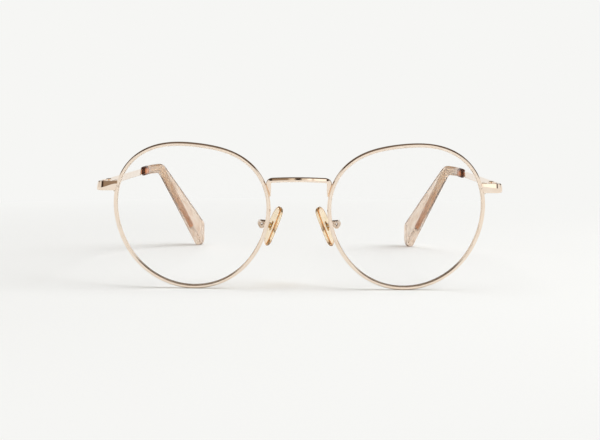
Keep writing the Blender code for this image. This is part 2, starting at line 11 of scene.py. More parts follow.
import bmesh
import bpy
from mathutils import Matrix, Vector


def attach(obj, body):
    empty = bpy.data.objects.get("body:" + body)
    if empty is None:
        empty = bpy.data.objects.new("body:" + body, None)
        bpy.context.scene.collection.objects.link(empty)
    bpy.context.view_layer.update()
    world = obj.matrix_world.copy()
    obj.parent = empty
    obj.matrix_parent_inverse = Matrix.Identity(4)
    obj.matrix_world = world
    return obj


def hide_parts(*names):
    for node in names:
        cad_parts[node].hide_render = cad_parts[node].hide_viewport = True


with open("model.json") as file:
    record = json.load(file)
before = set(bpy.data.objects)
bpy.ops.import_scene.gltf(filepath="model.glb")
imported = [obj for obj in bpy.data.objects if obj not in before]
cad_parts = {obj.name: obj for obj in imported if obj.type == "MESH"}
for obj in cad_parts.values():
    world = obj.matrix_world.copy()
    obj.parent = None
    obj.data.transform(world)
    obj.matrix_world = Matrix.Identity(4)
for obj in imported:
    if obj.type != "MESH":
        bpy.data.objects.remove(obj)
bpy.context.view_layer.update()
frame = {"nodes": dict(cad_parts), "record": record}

MM = 0.001
SIDES = {"left": -1, "right": 1}

# The front
LENS_SPACING = 70.6
LENS_HEIGHT = 24.9
FRONT_TILT = math.radians(6)
FRONT_WRAP = math.radians(3)
LENS_CURVE = 132.0
LENS_THICKNESS = 1.7
LENS_BEVEL_HALF = 0.25
LENS_POINTS = 120
GAP = 0.06  # round the lens, inside its rim

# The rim's radius is the mean plus (cosine, sine) terms that repeat 2, 3 and 4 times round it
RIM_MEAN_RADIUS = 24.62
RIM_OVALITY = (0.68, 0.32)
RIM_TRIANGLE = (-0.19, 0.81)
RIM_SQUARENESS = (-0.25, -0.115)
RIM_HALF_WIDTH = 0.65
RIM_HALF_DEPTH = 0.85
RIM_SEGMENTS = 180
GROOVE_SHARE = 0.3  # how far in the groove's bottom is, as a share of the half width
SPLIT_HALF = math.radians(0.15)

# The bridge
BRIDGE_HEIGHT = 36.4
BRIDGE_WIDTH = 1.6
BRIDGE_DEPTH = 1.5
BRIDGE_FOOT_WIDTH = 0.35
BRIDGE_BOW = 0.35
BRIDGE_ARCH = 0.22
BRIDGE_HALF_SPAN = 8.4
BRIDGE_LEG = (math.radians(159), math.radians(167))  # round the rim, a leg's top and foot
BRIDGE_STEPS = (10, 10, 8)  # in a leg, a shoulder and half the bar

# End pieces and hinges
TEMPLE_HEIGHT = 34.0
END_HALF_HEIGHT = 1.55
END_HALF_THICKNESS = 0.75
END_OUTER_X = 66.5
END_CORNER = 1.6
END_BEVEL = {-1: (0.8, 1.3), 1: (1.0, 0.5)}  # by side: its depth at the rim, and what it gains
HINGE = (63.75, 13.0)  # x and y of the right hinge's axis
HINGE_SCREW_RADIUS = 0.55
HINGE_SCREW_HEAD = 0.17
SLOT_WIDTH = 0.26
SLOT_DEPTH = 0.1
SLOT_WALL = 0.02
SLOT_REACH = 0.12  # below the head's top, what the slot still presses down
SCREW_POINTS = 32

# Temples; places along them are measured from the hinge, along their curve
TEMPLE_X = 65.9
BAR_HEIGHT = 2.35
BAR_THICKNESS = 1.1
COLLAR = (70.5, 75.5)  # its start and its end
COLLAR_MOUTH = 0.5  # how deep the recess round the bar is
COLLAR_HEIGHT = 3.4
TIP_START = 75.6
TIP_END = 130.7
TIP_UPPER_RADII = (7.0, 1.0)  # of the upper edge, at the bend and at the end facet
TIP_LOWER_RADII = (9.0, 2.0)
TIP_HEIGHT = 3.5
TIP_THICKNESS = (2.4, 3.2)  # at its start and its end
TOP_BEND = 92.8
LOWER_BEND = 92.0
DROP_SLOPE = 0.895
TIP_CORNER_HEIGHT = 10.0
CORE_START = 72.0
CORE_BEND_RADIUS = 8.0
CORE_HEIGHT = 1.7
CORE_THICKNESS = 0.9
CORE_END_HEIGHT = 9.0
CORE_FADE = 22.0  # the height over which the core's colour lightens
KNURL_WAVES = 9000.0  # radians per metre
# Which way a temple runs in plan: before its bend, after it, and what it drifts from there on
HEADING = (math.radians(4.4), math.radians(20.5), math.radians(-1.5))
HEADING_TURN = (74.0, 92.0)  # where the bend starts and ends

# Nose pads
PAD_AXIS = (9.9, 8.8, 20.9)
PAD_FRONTAL = math.radians(21)
PAD_SPLAY = math.radians(24)
PAD_LENGTH = 13.8
PAD_HALF_WIDTHS = (1.9, 3.6)  # in front of the pad's axis and behind it
PAD_POWERS = (4.5, 2.3)  # of the superellipses there
PAD_TAPER = 0.1
PAD_POINTS = 72
PAD_BACK = 0.93
# The darker band on these rings is a parting line and also painted shade on the pad's rounded back
# edge.
PARTING_AND_EDGE_SHADE_LEVELS = range(3, 7)  # the rings of the pad that its parting line covers
BOX_BACK = 0.95
ARM_RADIUS = 0.6
ARM_POINTS = 16
ARM_ANGLE = math.radians(187)

# The camera, in the front's frame
CAMERA_DISTANCE = 500.0
CAMERA_ELEVATION = math.radians(5.2)
CAMERA_X = 8.3
CAMERA_AIM = (0.4, 23.4)  # x and z
CAMERA_ROLL = math.radians(0.36)
FOCAL_MM = 92.1

# The setting, in metres and watts
BACKGROUND = (0.922, 0.922, 0.905)
FLOOR_HALF = 12.0
FADE_START = 0.15  # how far out the floor starts to fade into the background
FADE_RATE = 6.0  # per metre
FADE_ROUNDING = 0.1
LAMPS = {
    "overhead": {"place": (0, 0, 3.0), "aim": (0, 0, 0), "size": (3.0, 3.0), "watts": 46.5},
    "key": {"place": (1.45, -0.45, 1.55), "aim": (0, 0, 0.01), "size": (1.8, 1.2), "watts": 30.0},
}

# Colours used more than once
GOLD = (0.93, 0.80, 0.68)
BLACK, WHITE = (0, 0, 0), (1, 1, 1)

JOINTS = {joint["name"]: joint for joint in frame["record"]["behaviour"]["joints"]}
ORIGIN = Vector(JOINTS["fold_right"]["pos_m"]) - Vector((*HINGE, TEMPLE_HEIGHT)) * MM


# ---- node materials ----


class Nodes:
    """A short way to wire a material's or a world's node tree."""

    def __init__(self, tree):
        self.tree = tree
        tree.nodes.clear()

    def add(self, kind, **inputs):
        node = self.tree.nodes.new(kind)
        for name, value in inputs.items():
            self.set(node, name.replace("_", " "), value)
        return node

    def set(self, node, name, value):
        socket = node.inputs[int(name)] if name.isdigit() else node.inputs[name]
        if isinstance(value, bpy.types.NodeSocket):
            self.tree.links.new(value, socket)
        else:
            socket.default_value = value

    def math(self, operation, first, second=0.0, third=0.0):
        node = self.add("ShaderNodeMath")
        node.operation = operation
        for index, value in enumerate((first, second, third)):
            self.set(node, str(index), value)
        return node.outputs[0]

    def clamped(self, value):
        return self.math("MINIMUM", self.math("MAXIMUM", value, 0.0), 1.0)

    def ramp(self, value, *stops):
        """The colour at a value, from (position, colour) stops."""
        node = self.add("ShaderNodeValToRGB")
        elements = node.color_ramp.elements
        while len(elements) < len(stops):
            elements.new(0.5)
        for element, (position, colour) in zip(elements, stops):
            element.position = position
            element.color = (*colour, 1)
        self.set(node, "0", value)
        return node.outputs["Color"]

    def mixed(self, factor, first, second):
        """One colour at factor 0 and the other at 1; each is a socket or plain numbers."""
        node = self.add("ShaderNodeMix")
        node.data_type = "RGBA"
        self.set(node, "0", factor)
        for index, value in ((6, first), (7, second)):
            colour = value if isinstance(value, bpy.types.NodeSocket) else (*value, 1)
            self.set(node, str(index), colour)
        return node.outputs[2]

    def mixed_shader(self, factor, first, second):
        node = self.add("ShaderNodeMixShader")
        for index, value in enumerate((factor, first, second)):
            self.set(node, str(index), value)
        return node.outputs[0]

    def spot(self, stretch=(1, 1, 1), turn=0.0):
        """Object coordinates in metres, turned about X and then stretched."""
        place = self.add("ShaderNodeTexCoord").outputs["Object"]
        place = self.add("ShaderNodeMapping", Vector=place, Rotation=(turn, 0, 0)).outputs[0]
        return self.add("ShaderNodeMapping", Vector=place, Scale=stretch).outputs[0]

    def noise(self, scale, detail=3.0, stretch=(1, 1, 1), turn=0.0):
        place = self.spot(stretch, turn)
        return self.add("ShaderNodeTexNoise", Vector=place, Scale=scale, Detail=detail).outputs[0]

    def bump(self, height, strength, distance):
        node = self.add("ShaderNodeBump", Height=height, Strength=strength, Distance=distance)
        return node.outputs[0]


def new_material(name):
    """An empty node material, and the nodes to fill it with."""
    made = bpy.data.materials.new(name)
    made.use_nodes = True
    return made, Nodes(made.node_tree)


def polished_metal(name, colour, deep, roughness=(0.07, 0.16), grain=0.02, patches=260):
    """Plated metal: cloudy colour, a hazier bloom in places and very fine polishing lines. Where
    deep is much darker than colour, as on the pad arms, the dark patches are painted dark glints.
    """
    made, n = new_material(name)
    cloud_and_painted_glints = n.noise(patches, 4)
    lines = n.noise(900, 2, (6, 1, 6))
    # the colour clouds between deep and colour; on the pad arms the dark patches are painted glints
    tone = n.ramp(cloud_and_painted_glints, (0.3, deep), (0.7, colour))
    haze = n.math("MULTIPLY_ADD", n.noise(700, 5), roughness[1] - roughness[0], roughness[0])
    shader = n.add("ShaderNodeBsdfPrincipled", Base_Color=tone, Metallic=1.0, Roughness=haze,
                   Normal=n.bump(lines, grain, 0.00002))
    n.add("ShaderNodeOutputMaterial", Surface=shader.outputs[0])
    return made


def knurled_core(name):
    """The wire inside a tip: rolled with fine crossing lines, redder towards its lower end."""
    made, n = new_material(name)
    place = n.add("ShaderNodeSeparateXYZ", Vector=n.spot())
    along = n.math("ADD", place.outputs[1], n.math("MULTIPLY", place.outputs[2], -1.0))
    other = n.math("ADD", place.outputs[1], place.outputs[2])
    waves = [n.math("SINE", n.math("MULTIPLY", line, KNURL_WAVES)) for line in (along, other)]
    knurl = n.math("MULTIPLY_ADD", n.math("MULTIPLY", *waves), 0.5, 0.5)
    bright = n.ramp(knurl, (0.1, (0.93, 0.72, 0.54)), (0.8, (1.0, 0.96, 0.82)))
    deep = n.ramp(knurl, (0.1, (0.34, 0.09, 0.012)), (0.8, (0.78, 0.32, 0.07)))
    lowest = -(ORIGIN.z / MM + CORE_END_HEIGHT) / CORE_FADE
    height = n.math("MULTIPLY_ADD", place.outputs[2], 1 / (CORE_FADE * MM), lowest)
    tone = n.mixed(n.clamped(height), deep, bright)
    shader = n.add("ShaderNodeBsdfPrincipled", Base_Color=tone, Metallic=0.8, Roughness=0.28,
                   Normal=n.bump(knurl, 0.35, 0.00006))
    n.add("ShaderNodeOutputMaterial", Surface=shader.outputs[0])
    return made


def collar_metal():
    """Copper sleeve with painted light: a painted highlight along its middle, and painted shade
    darkening it to brown towards its upper and lower edges, where a rounded sleeve mirrors dark.
    """
    made, n = new_material("collar_copper_painted_edge_shade")
    place = n.add("ShaderNodeSeparateXYZ", Vector=n.spot())
    middle = ORIGIN.z + TEMPLE_HEIGHT * MM
    # painted shade: the colour darkens with the distance from the sleeve's middle height
    off = n.math("ABSOLUTE", n.math("SUBTRACT", place.outputs[2], middle))
    share = n.math("MULTIPLY_ADD", off, 2 / (COLLAR_HEIGHT * MM), -0.08)
    share = n.math("MULTIPLY_ADD", n.noise(700, 3), 0.16, share)
    # painted highlight in the middle, painted half shade, and painted shade at the upper and lower
    # edges
    bright, painted_half_shade, painted_edge_shade = (0.66, 0.26, 0.12), (0.40, 0.14, 0.06), (0.085, 0.03, 0.018)
    tone = n.ramp(share, (0.3, bright), (0.52, painted_half_shade), (0.8, painted_edge_shade))
    rough = n.math("MULTIPLY_ADD", n.noise(900, 3), 0.15, 0.2)
    shader = n.add("ShaderNodeBsdfPrincipled", Base_Color=tone, Metallic=0.25, Roughness=rough,
                   Normal=n.bump(n.noise(1500, 2), 0.05, 0.00003))
    n.add("ShaderNodeOutputMaterial", Surface=shader.outputs[0])
    return made


def lets_light_past(n, shader, tint):
    """Lamps see a tinted pane in place of the shader, so a clear piece throws a light shadow."""
    path = n.add("ShaderNodeLightPath")
    pane = n.add("ShaderNodeBsdfTransparent", Color=(*tint, 1))
    shown = n.mixed_shader(path.outputs["Is Shadow Ray"], shader.outputs[0], pane.outputs[0])
    n.add("ShaderNodeOutputMaterial", Surface=shown)


def clear_lens():
    """Coated lens: clear, with a thin film of reflection that grows towards grazing angles."""
    made, n = new_material("coated_lens")
    facing = n.add("ShaderNodeLayerWeight", Blend=0.35)
    smear = n.math("MULTIPLY_ADD", n.noise(60, 2), 0.006, 0.004)
    film = n.math("MULTIPLY_ADD", n.math("POWER", facing.outputs["Facing"], 3.0), 0.5, smear)
    path = n.add("ShaderNodeLightPath")
    film = n.math("MULTIPLY", film, n.math("SUBTRACT", 1.0, path.outputs["Is Shadow Ray"]))
    tone = n.ramp(n.noise(40, 1), (0.3, (0.86, 0.92, 0.90)), (0.7, (0.94, 0.95, 0.96)))
    shader = n.add("ShaderNodeBsdfPrincipled", Base_Color=tone, Roughness=0.03, IOR=1.5, Alpha=film)
    n.add("ShaderNodeOutputMaterial", Surface=shader.outputs[0])
    return made


def acetate():
    """Blush acetate: clear, with faint streaks along the tip, and painted shade: a deeper brown
    tone at its edges, where the surface turns from view, stands in for the dark outlines its
    rounded edges refract.
    """
    made, n = new_material("blush_acetate_streaked")
    streak = n.noise(900, 3, (1, 0.04, 1), math.atan(DROP_SLOPE))
    deep, blush, pale = (0.76, 0.54, 0.39), (0.91, 0.74, 0.60), (0.96, 0.84, 0.73)
    tone = n.ramp(streak, (0.36, deep), (0.5, blush), (0.64, pale))
    # painted shade: the colour turns deep brown as the surface turns towards grazing view
    facing = n.add("ShaderNodeLayerWeight", Blend=0.5)
    painted_grazing_shade = n.ramp(facing.outputs["Facing"], (0.68, BLACK), (0.95, WHITE))
    tone = n.mixed(painted_grazing_shade, tone, (0.42, 0.20, 0.09))
    rough = n.math("MULTIPLY_ADD", n.noise(900, 3), 0.08, 0.02)
    shader = n.add("ShaderNodeBsdfPrincipled", Base_Color=tone, Roughness=rough, IOR=1.48,
                   Transmission_Weight=0.86, Normal=n.bump(n.noise(160, 2), 0.05, 0.0002))
    lets_light_past(n, shader, (0.32, 0.26, 0.24))
    return made


def amber():
    """Soft amber pad: lightly frosted, with a fine moulded skin and a darker band round its back
    edge. The band is a parting line and also painted shade where the rounded edge turns from view.
    """
    made, n = new_material("amber_soft_pad")
    tone = n.ramp(n.noise(240, 3), (0.3, (1.0, 0.83, 0.58)), (0.75, (1.0, 0.90, 0.72)))
    parting_line_and_edge_shade = n.add("ShaderNodeAttribute")
    parting_line_and_edge_shade.attribute_name = "parting_line_and_edge_shade"
    # darker band: a parting line, and painted shade on the rounded edge
    tone = n.mixed(parting_line_and_edge_shade.outputs["Fac"], tone, (0.66, 0.25, 0.05))
    rough = n.math("MULTIPLY_ADD", n.noise(1500, 3), 0.06, 0.03)
    shader = n.add("ShaderNodeBsdfPrincipled", Base_Color=tone, Roughness=rough, IOR=1.33,
                   Transmission_Weight=0.93, Normal=n.bump(n.noise(1200, 2), 0.02, 0.00003))
    lets_light_past(n, shader, (0.85, 0.68, 0.45))
    return made


# ---- mesh helpers ----


def loft(rings, closed=False):
    """A skin over rings of equally many points; open lofts get a face over each end."""
    shape = bmesh.new()
    rows = [[shape.verts.new(point) for point in ring] for ring in rings]
    count = len(rows[0])
    pairs = list(zip(rows, rows[1:]))
    if closed:
        pairs.append((rows[-1], rows[0]))
    else:
        shape.faces.new(rows[0])
        shape.faces.new(rows[-1])
    for first, second in pairs:
        for i in range(count):
            j = (i + 1) % count
            shape.faces.new((first[i], first[j], second[j], second[i]))
    return shape


def piece(name, shape, material, body, node=None, sharp=40):
    """Puts a bmesh, in millimetres in the front's frame, in the scene in place of a CAD node."""
    bmesh.ops.recalc_face_normals(shape, faces=shape.faces)
    if shape.calc_volume(signed=True) < 0:
        bmesh.ops.reverse_faces(shape, faces=shape.faces)
    bmesh.ops.scale(shape, vec=(MM,) * 3, verts=shape.verts)
    bmesh.ops.translate(shape, vec=ORIGIN, verts=shape.verts)
    mesh = bpy.data.meshes.new(name)
    shape.to_mesh(mesh)
    shape.free()
    mesh.shade_smooth()
    mesh.set_sharp_from_angle(angle=math.radians(sharp))
    mesh.materials.append(material)
    made = bpy.data.objects.new(name, mesh)
    bpy.context.scene.collection.objects.link(made)
    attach(made, body)
    if node:
        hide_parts(node)


def carry(node, material, bevel=0.06):
    """Keeps a CAD node and gives it worn edges and a finished surface."""
    kept = frame["nodes"][node]
    for held in kept.material_slots:
        held.material = material
    worn = kept.modifiers.new("worn_edges", "BEVEL")
    worn.width = bevel * MM
    worn.segments = 2
    worn.limit_method = "ANGLE"
    worn.angle_limit = math.radians(40)
    worn.harden_normals = True
    kept.data.shade_smooth()


def rounded_section(height, thickness, radius, steps):
    """Points round an upright rectangle with rounded corners, as (across, up)."""
    radius = min(radius, height / 2.05, thickness / 2.05)
    points = []
    for quarter, (sx, sz) in enumerate(((1, 1), (-1, 1), (-1, -1), (1, -1))):
        x, z = sx * (thickness / 2 - radius), sz * (height / 2 - radius)
        for step in range(steps + 1):
            turn = math.radians(90 * (quarter + step / steps))
            points.append((x + radius * math.cos(turn), z + radius * math.sin(turn)))
    return points


def eased(outline, radii, steps=4):
    """A closed outline whose corners are rounded, each with its own radius."""
    points = []
    count = len(outline)
    for k in range(count):
        corner = Vector(outline[k])
        back = Vector(outline[k - 1]) - corner
        ahead = Vector(outline[(k + 1) % count]) - corner
        reach = min(radii[k], back.length * 0.45, ahead.length * 0.45)
        start, end = corner + back.normalized() * reach, corner + ahead.normalized() * reach
        for step in range(steps + 1):
            t = step / steps
            points.append(start.lerp(corner, t).lerp(corner.lerp(end, t), t))
    return points


def blend(t):
    """Rises smoothly from 0 to 1 as t does."""
    t = min(1, max(0, t))
    return t * t * (3 - 2 * t)


def filleted(points, radii, straight, round_steps):
    """Points along a chain of straight lines whose inner corners are arcs."""
    points = [Vector(p) for p in points]
    path = [points[0]]
    for previous, corner, following, radius in zip(points, points[1:], points[2:], radii):
        back = (previous - corner).normalized()
        ahead = (following - corner).normalized()
        half = back.angle(ahead) / 2
        reach = radius / math.tan(half)
        start = corner + back * reach
        centre = corner + (back + ahead).normalized() * (radius / math.sin(half))
        before = path[-1]
        path += [before.lerp(start, k / straight) for k in range(1, straight)]
        first = start - centre
        last = corner + ahead * reach - centre
        for k in range(round_steps + 1):
            path.append(centre + first.slerp(last, k / round_steps).normalized() * radius)
    path.append(points[-1])
    return path


def ahead_of(path, k):
    """The way a path runs at its point k, from the point before it to the one after."""
    return path[min(k + 1, len(path) - 1)] - path[max(k - 1, 0)]


def smooth_path(points, steps):
    """A Catmull-Rom curve through the points."""
    ends = [points[0]] + list(points) + [points[-1]]
    path = []
    for a, b, c, d in zip(ends, ends[1:], ends[2:], ends[3:]):
        for k in range(steps):
            t = k / steps
            path.append(0.5 * (2 * b + (c - a) * t + (2 * a - 5 * b + 4 * c - d) * t**2
                               + (3 * b - a - 3 * c + d) * t**3))
    return path + [points[-1]]


def turned(base, axis, profile):
    """A solid turned round an axis: profile lists (distance along, radius)."""
    axis = Vector(axis).normalized()
    across = axis.orthogonal().normalized()
    other = axis.cross(across)
    return loft([
        [
            Vector(base) + axis * along + (across * math.cos(t) + other * math.sin(t)) * radius
            for t in (2 * math.pi * k / SCREW_POINTS for k in range(SCREW_POINTS))
        ]
        for along, radius in profile
    ])


# ---- frames that the pieces are placed in ----


def lens_frame(side):
    """A lens's centre, and its directions towards the temple, up and forward."""
    turn = Matrix.Rotation(side * FRONT_WRAP, 3, "Z") @ Matrix.Rotation(FRONT_TILT, 3, "X")
    centre = Vector((side * LENS_SPACING / 2, 0, LENS_HEIGHT))
    return centre, turn @ Vector((side, 0, 0)), turn @ Vector((0, 0, 1)), turn @ Vector((0, -1, 0))


def rim_radius(angle):
    """From the lens's centre to the middle of the rim's wire."""
    radius = RIM_MEAN_RADIUS
    for order, (even, odd) in zip((2, 3, 4), (RIM_OVALITY, RIM_TRIANGLE, RIM_SQUARENESS)):
        radius += even * math.cos(order * angle) + odd * math.sin(order * angle)
    return radius


def on_lens(side, angle, radius, forward):
    """A point on the lens's curve; angles go round from the temple's side upwards."""
    centre, temporal, up, front = lens_frame(side)
    sag = radius * radius / (2 * LENS_CURVE)
    flat = temporal * (radius * math.cos(angle)) + up * (radius * math.sin(angle))
    return centre + flat + front * (forward - sag)


def on_rim(side, angle, outward, forward=0.0):
    """A point of the rim's section, which sits square to the lens's plane."""
    centre, temporal, up, front = lens_frame(side)
    middle = rim_radius(angle)
    radius = middle + outward
    flat = temporal * (radius * math.cos(angle)) + up * (radius * math.sin(angle))
    return centre + flat + front * (forward - middle * middle / (2 * LENS_CURVE))


def rim_angle_at(height):
    """Where the rim passes a height, on the temple's side."""
    angle = 0.0
    for _ in range(8):
        radius = rim_radius(angle)
        rise = height - LENS_HEIGHT - radius * radius / (2 * LENS_CURVE) * math.sin(FRONT_TILT)
        angle = math.asin(rise / (radius * math.cos(FRONT_TILT)))
    return angle


SPLIT_ANGLE = rim_angle_at(TEMPLE_HEIGHT)


def heading(arc):
    """Which way the right temple runs in plan, as an angle inwards from straight back."""
    start, bent, drift = HEADING
    first, last = HEADING_TURN
    turned_by = (bent - start) * blend((arc - first) / (last - first))
    return start + turned_by + drift * max(0, arc - last) / (TIP_END - last)


def plan_curve():
    """The right temple's middle line in plan, a point to each millimetre."""
    points = [Vector((TEMPLE_X, HINGE[1]))]
    for step in range(int(TIP_END) + 4):
        turn = heading(step + 0.5)
        points.append(points[-1] + Vector((-math.sin(turn), math.cos(turn))))
    return points


PLAN = plan_curve()


def on_temple(side, arc, outward, height):
    """A point beside the temple's middle line."""
    step = min(max(int(arc), 0), len(PLAN) - 2)
    place = PLAN[step].lerp(PLAN[step + 1], arc - step)
    turn = heading(arc)
    place = place + Vector((math.cos(turn), math.sin(turn))) * outward
    return Vector((side * place.x, place.y, height))


def side_ring(side, low, high, thickness, radius, steps=5):
    """A section of the temple between two (arc, height) points of its side view."""
    low, high = Vector(low), Vector(high)
    middle = (low + high) / 2
    along = (high - low).normalized()
    return [
        on_temple(side, middle.x + along.x * up, across, middle.y + along.y * up)
        for across, up in rounded_section((high - low).length, thickness, radius, steps)
    ]


def level_ring(side, arc, height, thickness, radius):
    """An upright section of the temple's level part."""
    low, high = TEMPLE_HEIGHT - height / 2, TEMPLE_HEIGHT + height / 2
    return side_ring(side, (arc, low), (arc, high), thickness, radius)


def pad_frame(side):
    """A pad's axis point, and its directions up, across and towards the nose."""
    along = Vector((-side * math.tan(PAD_FRONTAL), -math.tan(FRONT_TILT), 1)).normalized()
    across = Vector((side * math.sin(PAD_SPLAY), math.cos(PAD_SPLAY), 0))
    across = (across - along * across.dot(along)).normalized()
    x, y, z = PAD_AXIS
    return Vector((side * x, y, z)), along, across, along.cross(across) * side


def in_pad(side, along, across, normal):
    """A point in a pad's own directions."""
    origin, a, c, n = pad_frame(side)
    return origin + a * along + c * across + n * normal


# ---- the front ----


def build_rim(side, where, gold):
    """Grooved wire with bevelled front and back edges, split where the lock closes it."""
    w, d = RIM_HALF_WIDTH, RIM_HALF_DEPTH
    half = [(w, 0.42 * d), (0.42 * w, d), (-0.5 * w, d), (-w, 0.58 * d), (-w, 0.42 * d)]
    outline = half + [(-GROOVE_SHARE * w, 0)] + [(p, -q) for p, q in reversed(half)]
    section = eased(outline, [0.12, 0.12, 0.12, 0.08, 0.03, 0.03, 0.03, 0.08, 0.12, 0.12, 0.12], 3)
    first = SPLIT_ANGLE + SPLIT_HALF
    sweep = 2 * math.pi - 2 * SPLIT_HALF
    rings = [
        [on_rim(side, first + sweep * k / RIM_SEGMENTS, p.x, p.y) for p in section]
        for k in range(RIM_SEGMENTS + 1)
    ]
    piece(f"rim_wire_{where}", loft(rings), gold, "front", f"rim_{where}")


def build_lens(side, where, glass):
    """Meniscus, both faces curved, with the bevel that sits in the groove."""
    inset = RIM_HALF_WIDTH * GROOVE_SHARE + GAP
    face_edge = RIM_HALF_WIDTH + GAP
    half, bevel = LENS_THICKNESS / 2, LENS_BEVEL_HALF
    shares = (0.01, 0.15, 0.3, 0.45, 0.6, 0.75, 0.88, 0.96, 1.0)
    rows = [(share, -half, face_edge) for share in shares]
    rows += [(1.0, -bevel, face_edge), (1.0, 0.0, inset), (1.0, bevel, face_edge)]
    rows += [(share, half, face_edge) for share in reversed(shares)]
    angles = [2 * math.pi * k / LENS_POINTS for k in range(LENS_POINTS)]
    rings = [
        [on_lens(side, angle, (rim_radius(angle) - trim) * share, forward) for angle in angles]
        for share, forward, trim in rows
    ]
    piece(f"lens_glass_{where}", loft(rings), glass, "front", f"lens_{where}", 30)


def bridge_half():
    """From the foot of one leg to the middle of the bar, as (place, width) pairs."""
    top, foot = BRIDGE_LEG
    leg_steps, shoulder_steps, bar_steps = BRIDGE_STEPS
    path = []
    for k in range(leg_steps + 1):
        t = k / leg_steps
        width = BRIDGE_FOOT_WIDTH + (BRIDGE_WIDTH - BRIDGE_FOOT_WIDTH) * t
        outward = RIM_HALF_WIDTH - 0.05 + width / 2
        path.append((on_rim(1, foot + (top - foot) * t, outward, 0.1), width))
    leg_top = path[-1][0]
    bar_y = leg_top.y - 0.5
    shoulder = Vector((leg_top.x + 0.25, bar_y + 0.2, BRIDGE_HEIGHT))
    bar_end = Vector((BRIDGE_HALF_SPAN - 0.4, bar_y, BRIDGE_HEIGHT))
    for k in range(1, shoulder_steps + 1):
        t = k / shoulder_steps
        path.append((leg_top.lerp(shoulder, t).lerp(shoulder.lerp(bar_end, t), t), BRIDGE_WIDTH))
    for k in range(1, bar_steps + 1):
        share = 1 - k / bar_steps
        bow = BRIDGE_BOW * (1 - share * share)
        arch = BRIDGE_ARCH * (1 - share * share)
        path.append((Vector((bar_end.x * share, bar_y - bow, BRIDGE_HEIGHT + arch)), BRIDGE_WIDTH))
    return path


def build_bridge(gold):
    """One bar from rim to rim, with a facet along its upper front edge."""
    half = bridge_half()
    mirrored = [(Vector((-p.x, p.y, p.z)), width) for p, width in half[:-1]]
    places, widths = zip(*(half + mirrored[::-1]))
    rings = []
    for k, (place, width) in enumerate(zip(places, widths)):
        ahead = ahead_of(places, k)
        ahead = Vector((ahead.x, 0, ahead.z)).normalized()
        square = Vector((ahead.z, 0, -ahead.x))
        depth = BRIDGE_DEPTH * (0.6 + 0.4 * width / BRIDGE_WIDTH) / 2
        half_width = max(width / 2, 0.3)
        outline = [
            (-depth, half_width), (-depth, 0.15 * half_width),
            (-depth + 0.12, 0.3 - half_width), (-depth + 0.4, -half_width),
            (depth, -half_width), (depth, half_width),
        ]
        section = eased(outline, [0.35, 0.1, 0.12, 0.2, 0.4, 0.4])
        rings.append([place + square * -p.y + Vector((0, p.x, 0)) for p in section])
    piece("bridge_bar", loft(rings), gold, "front", "bridge", 50)


def beside_rim(rise):
    """Just inside the rim's outer edge, at a height above the temple's middle line."""
    return on_rim(1, rim_angle_at(TEMPLE_HEIGHT + rise), RIM_HALF_WIDTH - 0.25)


def build_end_piece(side, where, gold):
    """A bar with a crisp upper bevel that widens outwards, bent round the corner."""
    t, h = END_HALF_THICKNESS, END_HALF_HEIGHT
    start = beside_rim(0)
    side_x = END_OUTER_X - t
    path = filleted(
        ((start.x, start.y), (side_x, start.y), (side_x, HINGE[1] - 0.1)), [END_CORNER], 8, 12
    )
    rings = []
    bevel, gain = END_BEVEL[side]
    for k, place in enumerate(path):
        ahead = ahead_of(path, k).normalized()
        outward = Vector((ahead.y, -ahead.x))
        round_off = blend((k - 9) / 9)
        drop = bevel + gain * blend(k / 10)
        lean = 0.22 * drop
        outline = [(-t, -h), (t, -h), (t, h - drop), (t - lean, h), (-t, h)]
        radii = [0.12, 0.25 + 0.6 * round_off, 0.08, 0.08 + 0.5 * round_off, 0.12]
        ring = []
        for p in eased(outline, radii):
            x = place.x + outward.x * p.x if k else beside_rim(p.y).x
            ring.append(Vector((side * x, place.y + outward.y * p.x, TEMPLE_HEIGHT + p.y)))
        rings.append(ring)
    node = f"end_piece_{where}"
    piece(f"end_piece_bar_{where}", loft(rings), gold, "front", node, 35)


def slotted(shape, top, axis):
    """Presses a driver slot across the head whose highest point is top."""
    across = axis.orthogonal().normalized()
    half = SLOT_WIDTH / 2
    for offset in (half, half + SLOT_WALL, -half, -half - SLOT_WALL):
        bmesh.ops.bisect_plane(
            shape, geom=shape.verts[:] + shape.edges[:] + shape.faces[:], dist=1e-5,
            plane_co=top + across * offset, plane_no=across,
        )
    for vert in shape.verts:
        away = vert.co - top
        if abs(away.dot(across)) < half + SLOT_WALL / 2 and away.dot(axis) > -SLOT_REACH:
            vert.co -= axis * SLOT_DEPTH
    return shape


def build_hinge_screw(side, where, steel):
    """Plain pin through the knuckles, with a low slotted head on the end piece."""
    x, y = side * HINGE[0], HINGE[1]
    low, high = TEMPLE_HEIGHT - END_HALF_HEIGHT, TEMPLE_HEIGHT + END_HALF_HEIGHT
    shaft, length = HINGE_SCREW_RADIUS, high - low
    screw = (
        (0, shaft - 0.08), (0.08, shaft), (length - 0.02, shaft), (length, 0.78),
        (length + 0.03, 0.84), (length + 0.07, 0.84), (length + 0.12, 0.76),
        (length + 0.16, 0.55), (length + HINGE_SCREW_HEAD, 0.3),
    )
    up = Vector((0, 0, 1))
    top = Vector((x, y, high + HINGE_SCREW_HEAD))
    shape = slotted(turned((x, y, low), up, screw), top, up)
    node = f"hinge_screw_{where}"
    piece(f"hinge_screw_turned_{where}", shape, steel, "front", node, 30)


